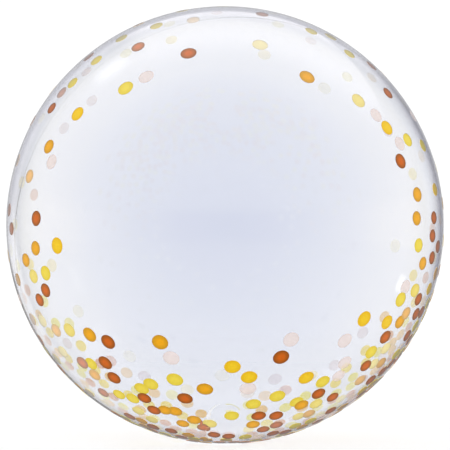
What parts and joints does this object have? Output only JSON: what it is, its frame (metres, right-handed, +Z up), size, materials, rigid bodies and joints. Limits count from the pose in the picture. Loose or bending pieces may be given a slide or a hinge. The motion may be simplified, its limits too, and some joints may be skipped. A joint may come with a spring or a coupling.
{
  "type": "clear bubble balloon",
  "caption": "Round sealed balloon of clear stretchy film with a scattered confetti dot print and a flat filling neck folded up against its lower front.",
  "frame": {"origin": "centre of the small flat spot on the underside that the balloon rests on", "axes": "+Z straight up through the ball's centre; -Y is the front, where the clear window faces and the filling neck lies; +X to the right seen from the front"},
  "size_m": [0.61, 0.61, 0.6079],
  "materials": {
    "clear_film": "clear, glossy, faintly lilac stretchy plastic film",
    "neck_film": "two layers of the same clear film, welded at the edges, slightly milky",
    "copper_ink": "copper-brown printed dots on the film",
    "gold_ink": "gold-orange printed dots on the film",
    "yellow_ink": "yellow printed dots on the film",
    "blush_ink": "pale champagne-pink, half see-through printed dots on the film"
  },
  "bodies": {
    "root": {"balloon_skin": "clear_film", "filling_neck": "neck_film"}
  },
  "joints": []
}
